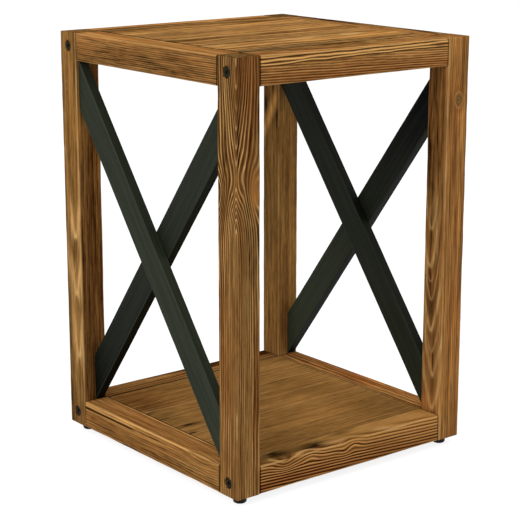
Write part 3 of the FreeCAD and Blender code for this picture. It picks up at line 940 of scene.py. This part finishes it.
        bands=[("y", 168.5, 2.5, -1.0)],
        blots=[(-150, 98, 52, 36, 60, 20, -0.45), (130, 100, 52, 50, 60, 20, 0.3)],
        reds=[(-140, 110, 52, 60, 70, 20, 0.35)]),
}


# Brightness of each brace, lower on the inner ones as painted shade; its painted light rising
# towards the rear end; how dark the painted shade makes the narrow faces
BRACE_LOOKS = {
    "brace_outer_left": dict(tone=1.88, painted_light_along=0.0, painted_edge_shade=0.0),
    "brace_inner_left": dict(tone=1.1, painted_light_along=-0.3, painted_edge_shade=0.7),
    "brace_outer_right": dict(tone=1.7, painted_light_along=0.6, painted_edge_shade=1.0),
    "brace_inner_right": dict(tone=1.4, painted_light_along=-0.1, painted_edge_shade=0.6),
}


BATTEN = dict(pith=(30.0, 50.0), rings=3.0, dark=0.4, tone=1.2)
BATTEN_SEED, BRACE_SEED = 80.0, 90.0


# The pieces

def make_timber(node, turn, slot, arrises, waver, cutters=(), painted_joint_shade=True):
    """One worn board in place of a node of the frame."""
    wood = bpy.context.scene.timber
    board = Board(node, turn)
    look = LOOKS[node]
    mesh = board_mesh(board, arrises, waver, wood.unevenness, wood.end_round,
                      wood.station_step, look["seed"])
    thing = place(node + "_timber", mesh)
    bore(thing, cutters)
    hand_over(thing, timber_finish(board, look, painted_joint_shade), slot, node)


def bolt_places():
    """Where the connector bolts' heads are: y and z of their middles."""
    low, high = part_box("connector_bolts_left")
    head = bpy.context.scene.metal.head_diameter / 2
    heights = (low[2] + head, high[2] - head)
    return [(y, z) for y in (low[1] + head, high[1] - head) for z in heights]


class SIDETABLE_OT_legs(bpy.types.Operator):
    """Four worn legs with counterbores for the bolt heads"""
    bl_idname = "sidetable.legs"
    bl_label = "Legs"

    def execute(self, context):
        wood, metal = context.scene.timber, context.scene.metal
        bore_width = metal.head_diameter + metal.head_clearance * 2
        for node in LEGS:
            board = Board(node, ALONG_Z)
            side = 1.0 if board.centre.x > 0 else -1.0
            face = board.centre.x + side * board.half.z
            cutters = []
            for y, z in bolt_places():
                if abs(y - board.centre.y) < board.half.y:
                    floor = (face - side * metal.counterbore_depth, y, z)
                    outside = (face + side * OUTSIDE, y, z)
                    cutters.append(cutter_mesh(bore_width, floor, outside))
            make_timber(
                node, ALONG_Z, "pine_leg", [wood.leg_arris] * 4, [WAVER] * 4, cutters, False)
        return {"FINISHED"}


class SIDETABLE_OT_side_rails(bpy.types.Operator):
    """The top and bottom rails of both side frames"""
    bl_idname = "sidetable.side_rails"
    bl_label = "Side rails"

    def execute(self, context):
        wood = context.scene.timber
        for node in SIDE_RAILS:
            arrises = [wood.rail_arris] * 4
            if "bottom" in node:
                arrises[0 if "right" in node else 1] = wood.shelf_arris
            make_timber(node, ALONG_Y, "pine_rail", arrises, [WAVER] * 4)
        return {"FINISHED"}


class SIDETABLE_OT_panel_rails(bpy.types.Operator):
    """The front and back rails of the top and the shelf, with their barrel nut bores"""
    bl_idname = "sidetable.panel_rails"
    bl_label = "Front and back rails"

    def execute(self, context):
        wood, metal = context.scene.timber, context.scene.metal
        low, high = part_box("barrel_nuts_left")
        nut = metal.nut_diameter / 2
        for node in PANEL_RAILS:
            board = Board(node, ALONG_X)
            front = board.centre.y < 0
            bottom = board.centre.z - board.half.z - OUTSIDE
            row = low[1] + nut if front else high[1] - nut
            cutters = []
            for side in (-1.0, 1.0):
                x = side * abs(low[0] + nut)
                start, end = (x, row, bottom), (x, row, board.centre.z + NUT_BORE_RISE)
                cutters.append(cutter_mesh(metal.nut_diameter + NUT_GAP, start, end))
            lip = SPLIT_ARRIS if front else wood.rail_arris
            arrises = [wood.rail_arris, lip, wood.rail_arris, wood.rail_arris]
            waver = [WAVER, SPLIT_WAVER if front else WAVER, WAVER, WAVER]
            make_timber(node, ALONG_X, "pine_rail", arrises, waver, cutters)
        return {"FINISHED"}


class SIDETABLE_OT_planks(bpy.types.Operator):
    """The planks of the top and the shelf"""
    bl_idname = "sidetable.planks"
    bl_label = "Planks"

    def execute(self, context):
        for node in sorted(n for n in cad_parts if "_plank_" in n):
            repaint(node, timber_finish(Board(node, ALONG_X), LOOKS[node]))
        return {"FINISHED"}


class SIDETABLE_OT_battens(bpy.types.Operator):
    """The battens under the top and the shelf"""
    bl_idname = "sidetable.battens"
    bl_label = "Battens"

    def execute(self, context):
        nodes = sorted(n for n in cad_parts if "batten" in n and "screws" not in n)
        for number, node in enumerate(nodes):
            look = {**BATTEN, "seed": BATTEN_SEED + number}
            repaint(node, timber_finish(Board(node, ALONG_Y), look))
        return {"FINISHED"}


class SIDETABLE_OT_braces(bpy.types.Operator):
    """The crossed braces, stained charcoal"""
    bl_idname = "sidetable.braces"
    bl_label = "Braces"

    def execute(self, context):
        wood = context.scene.timber
        for number, node in enumerate(BRACES):
            board = Board(node, ALONG_Y).lean()
            mesh = board_mesh(
                board, [wood.brace_arris] * 4, [BRACE_WAVER] * 4, wood.unevenness / 2,
                wood.end_round / 2, wood.station_step, BRACE_SEED + number)
            thing = place(node + "_timber", mesh)
            material = brace_finish(board, BRACE_SEED + number * 3, **BRACE_LOOKS[node])
            hand_over(thing, material, "brace_stain", node)
        return {"FINISHED"}


class SIDETABLE_OT_hardware(bpy.types.Operator):
    """Finishes of bolts, barrel nuts, dowels, pins and feet"""
    bl_idname = "sidetable.hardware"
    bl_label = "Bolts, nuts, dowels and feet"

    def execute(self, context):
        black, steel, rubber = bolt_finish(), steel_finish(), rubber_finish()
        beech_y = dowel_finish("dowel beech", ALONG_Y)
        beech_x = dowel_finish("pin beech", ALONG_X)
        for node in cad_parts:
            if node.startswith("connector_bolts"):
                repaint(node, black)
            elif node.startswith("barrel_nuts") or node == "foot_screws":
                repaint(node, steel)
            elif node.startswith("foot_"):
                repaint(node, rubber)
            elif node.startswith("rail_pins"):
                repaint(node, beech_x)
            elif node.startswith(("frame_dowels", "brace_pins")):
                repaint(node, beech_y)
        return {"FINISHED"}


def screw_tree(material):
    """Countersunk screws with a cross recess and a thread, one on every point of a mesh."""
    metal = bpy.context.scene.metal
    tree = bpy.data.node_groups.new("Batten screws", "GeometryNodeTree")
    sizes = {
        "Head diameter": metal.screw_head, "Head height": 2.4 * MM,
        "Shank diameter": metal.screw_shank, "Length": metal.screw_length,
        "Point length": 4.0 * MM, "Recess width": 1.1 * MM, "Recess length": 4.4 * MM,
        "Recess depth": 1.5 * MM, "Thread pitch": 1.8 * MM, "Thread height": 0.4 * MM,
    }
    tree.interface.new_socket("Points", in_out="INPUT", socket_type="NodeSocketGeometry")
    for name, size in sizes.items():
        socket = tree.interface.new_socket(name, in_out="INPUT", socket_type="NodeSocketFloat")
        socket.default_value = size
    tree.interface.new_socket("Screws", in_out="OUTPUT", socket_type="NodeSocketGeometry")
    r = Recipe(tree)
    given = tree.nodes.new("NodeGroupInput")
    size = {name: Wire(r, given.outputs[name]) for name in sizes}
    shank = size["Shank diameter"] * 0.5
    straight = size["Length"] - size["Head height"] - size["Point length"]
    threaded, smooth = straight * 0.8, straight * 0.2

    def moved(shape, kind, change):
        return r.node("GeometryNodeTransform", {"Geometry": shape, kind: change})

    def lifted(shape, height):
        return moved(shape, "Translation", r.node("ShaderNodeCombineXYZ", {2: height}))

    head = r.node("GeometryNodeMeshCone", {
        "Vertices": 40, "Radius Top": shank, "Radius Bottom": size["Head diameter"] * 0.5,
        "Depth": size["Head height"]})
    bars = []
    for turn in (0.0, math.pi / 2):
        bar = r.node("GeometryNodeMeshCube", {"Size": r.node("ShaderNodeCombineXYZ", {
            0: size["Recess length"], 1: size["Recess width"], 2: size["Recess depth"] * 2.0})})
        bars.append(moved(bar, "Rotation", (0.0, 0.0, turn)))
    head = r.node("GeometryNodeMeshBoolean", {0: head, 1: bars}, operation="DIFFERENCE",
                  solver="EXACT")
    stem = r.node("GeometryNodeMeshCylinder", {
        "Vertices": 24, "Radius": shank, "Depth": straight})
    stem = lifted(stem, size["Head height"] + straight * 0.5)
    tip = r.node("GeometryNodeMeshCone", {
        "Vertices": 24, "Radius Top": 0.0, "Radius Bottom": shank, "Depth": size["Point length"]})
    tip = lifted(tip, size["Head height"] + straight)
    spiral = r.node("GeometryNodeCurveSpiral", {
        "Resolution": 20, "Rotations": threaded / size["Thread pitch"],
        "Start Radius": shank, "End Radius": shank, "Height": threaded})
    edge = r.node("GeometryNodeCurvePrimitiveCircle", {
        "Resolution": 5, "Radius": size["Thread height"]})
    thread = r.node("GeometryNodeCurveToMesh", {
        "Curve": spiral, "Profile Curve": edge, "Fill Caps": True})
    thread = lifted(thread, size["Head height"] + smooth)
    screw = r.node("GeometryNodeJoinGeometry", {0: [head, stem, tip, thread]})
    points = r.node("GeometryNodeMeshToPoints", {0: Wire(r, given.outputs["Points"])})
    screws = r.node("GeometryNodeInstanceOnPoints", {"Points": points, "Instance": screw})
    screws = r.node("GeometryNodeRealizeInstances", {0: screws})
    screws = r.node("GeometryNodeSetMaterial", {0: screws, "Material": material})
    result = tree.nodes.new("NodeGroupOutput")
    tree.links.new(screws.socket, result.inputs["Screws"])
    return tree


class SIDETABLE_OT_screws(bpy.types.Operator):
    """Cross-recessed screws through the battens, one under each plank"""
    bl_idname = "sidetable.screws"
    bl_label = "Batten screws"

    def execute(self, context):
        steel = steel_finish()
        tree = screw_tree(steel)
        for panel in ("top", "shelf"):
            node = panel + "_batten_screws"
            places = []
            for side in ("left", "right"):
                low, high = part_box(panel + "_batten_" + side)
                for number in (1, 2, 3):
                    front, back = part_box("%s_plank_%d" % (panel, number))
                    start = front[1] + (TONGUE if number == 1 else 0.0)
                    middle = (start + back[1] - TONGUE) / 2
                    places.append(((low[0] + high[0]) / 2, middle, low[2]))
            mesh = bpy.data.meshes.new(node + "_places")
            mesh.from_pydata(places, [], [])
            thing = place(node + "_cross", mesh)
            grow = thing.modifiers.new("Screws", "NODES")
            grow.node_group = tree
            for item in tree.interface.items_tree:
                if item.in_out == "INPUT" and item.socket_type == "NodeSocketFloat":
                    grow[item.identifier] = item.default_value
            context.view_layer.update()
            apply_modifiers(thing)
            hand_over(thing, steel, "screw_steel", node)
        return {"FINISHED"}


# The stage

PICTURE_WIDTH = 520                 # in pixels
SENSOR_WIDTH = 36.0                 # in mm
CLIPPING = (0.05, 50.0)             # nearest and farthest that the camera sees, in m
CAMERA_AIM = (0.0, 0.0, 0.305)      # the middle of the table
LAMP_AIM = (0.0, 0.0, 0.3)
FLOOR_RADIUS, FLOOR_SIDES = 7.0, 96
FLOOR_PALE, FLOOR_PALER = (0.80, 0.80, 0.80, 1.0), (0.84, 0.84, 0.84, 1.0)
FLOOR_SHADED = (0.3, 0.3, 0.3, 1.0)
FLOOR_GLOW = 0.86
# Lamps: name, the setting of their power, length of their sides and place, in m
LAMPS = (
    ("Key", "key_power", 1.8, (-2.5, -0.9, 2.0)),
    ("Fill", "fill_power", 2.0, (2.2, -1.6, 1.3)),
    ("Top", "fill_power", 1.6, (0.2, 0.4, 2.6)),
)


def look_from(thing, spot, direction):
    """Puts a lamp or camera at a spot and turns it to look along a direction."""
    thing.location = spot
    thing.rotation_mode = "QUATERNION"
    thing.rotation_quaternion = direction.to_track_quat("-Z", "Y")


def white_behind(r, inner):
    """Shows white to the camera and in gloss, and another shader to the other rays."""
    rays = {n: r.node("ShaderNodeLightPath", output=n) for n in (
        "Is Camera Ray", "Is Glossy Ray", "Is Transmission Ray")}
    seen = r.sum("MAXIMUM", rays["Is Camera Ray"], rays["Is Glossy Ray"])
    seen = r.sum("MAXIMUM", seen, rays["Is Transmission Ray"])
    return r.node("ShaderNodeMixShader", {0: seen, 1: inner[0], 2: inner[1]})


def add_surroundings(scene):
    """Even light from all round before a white background."""
    world = bpy.data.worlds.new("Studio")
    world.use_nodes = True
    scene.world = world
    r = Recipe(world.node_tree)
    dim, white = (
        r.node("ShaderNodeBackground", {"Color": WHITE, "Strength": strength})
        for strength in (scene.stage.daylight, 1.0))
    r.node("ShaderNodeOutputWorld", {"Surface": white_behind(r, (dim, white))})


def add_floor():
    """A round floor that looks white and still takes a faint shadow."""
    shape = bmesh.new()
    bmesh.ops.create_circle(shape, cap_ends=True, segments=FLOOR_SIDES, radius=FLOOR_RADIUS)
    floor = place("floor", finished_mesh("floor", shape))
    material, r = new_finish("floor")
    mottle = r.noise(r.table(), (3.0, 3.0, 3.0), 3.0)
    pale = r.blend(mottle, FLOOR_PALE, FLOOR_PALER)
    plain = r.node("ShaderNodeBsdfDiffuse", {"Color": pale})
    glow = r.node("ShaderNodeEmission", {"Color": WHITE, "Strength": FLOOR_GLOW})
    shaded = r.node("ShaderNodeBsdfDiffuse", {"Color": FLOOR_SHADED})
    lit = r.node("ShaderNodeAddShader", {0: glow, 1: shaded})
    r.node("ShaderNodeOutputMaterial", {"Surface": white_behind(r, (plain, lit))})
    floor.data.materials.append(material)
    floor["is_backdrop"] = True


def add_camera(scene):
    """The camera, placed by its angles and distance from the middle of the table."""
    stage = scene.stage
    data = bpy.data.cameras.new("Camera")
    data.sensor_width = SENSOR_WIDTH
    data.lens = stage.focal_pixels * data.sensor_width / PICTURE_WIDTH
    data.clip_start, data.clip_end = CLIPPING
    a, e = stage.azimuth, stage.elevation
    back = Vector((math.sin(a) * math.cos(e), -math.cos(a) * math.cos(e), math.sin(e)))
    right = Vector((0.0, 0.0, 1.0)).cross(back).normalized()
    upward = back.cross(right)
    spot = Vector(CAMERA_AIM) + back * stage.distance
    spot = spot + right * stage.slide[0] + upward * stage.slide[1]
    scene.camera = place("Camera", data)
    look_from(scene.camera, spot, -back)


class SIDETABLE_OT_stage(bpy.types.Operator):
    """Pale floor, soft light and the camera"""
    bl_idname = "sidetable.stage"
    bl_label = "Stage"

    def execute(self, context):
        add_surroundings(context.scene)
        add_floor()
        for name, power, side, spot in LAMPS:
            light = bpy.data.lights.new(name, "AREA")
            light.energy = getattr(context.scene.stage, power)
            light.shape = "RECTANGLE"
            light.size = light.size_y = side
            look_from(place(name, light), spot, Vector(LAMP_AIM) - Vector(spot))
        add_camera(context.scene)
        context.scene.view_settings.view_transform = "Standard"
        return {"FINISHED"}


class SIDETABLE_PT_panel(bpy.types.Panel):
    """Sizes, colours and steps of the side table"""
    bl_idname = "SIDETABLE_PT_panel"
    bl_label = "Side table"
    bl_space_type = "VIEW_3D"
    bl_region_type = "UI"
    bl_category = "Side table"

    def draw(self, context):
        for title in SETTINGS:
            settings = getattr(context.scene, title)
            box = self.layout.box()
            box.label(text=title.capitalize())
            for name in settings.bl_rna.properties.keys():
                if name not in ("name", "rna_type"):
                    box.prop(settings, name)
        for operator in OPERATORS:
            self.layout.operator(operator.bl_idname)


OPERATORS = (
    SIDETABLE_OT_legs, SIDETABLE_OT_side_rails, SIDETABLE_OT_panel_rails, SIDETABLE_OT_planks,
    SIDETABLE_OT_battens, SIDETABLE_OT_braces, SIDETABLE_OT_hardware, SIDETABLE_OT_screws,
    SIDETABLE_OT_stage,
)
SETTINGS = {"timber": TimberSettings, "metal": MetalSettings, "stage": StageSettings}


def register():
    for thing in (*SETTINGS.values(), *OPERATORS, SIDETABLE_PT_panel):
        bpy.utils.register_class(thing)
    for name, group in SETTINGS.items():
        setattr(bpy.types.Scene, name, bpy.props.PointerProperty(type=group))


def unregister():
    for name in SETTINGS:
        delattr(bpy.types.Scene, name)
    for thing in reversed((*SETTINGS.values(), *OPERATORS, SIDETABLE_PT_panel)):
        bpy.utils.unregister_class(thing)


def main():
    register()
    for operator in OPERATORS:
        getattr(bpy.ops.sidetable, operator.bl_idname.split(".")[1])()
    sizes = {"cad": cad_bounds, "visual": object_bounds()}
    {k: [list(corner) for corner in v] for k, v in sizes.items()}


if __name__ == "__main__":
    main()
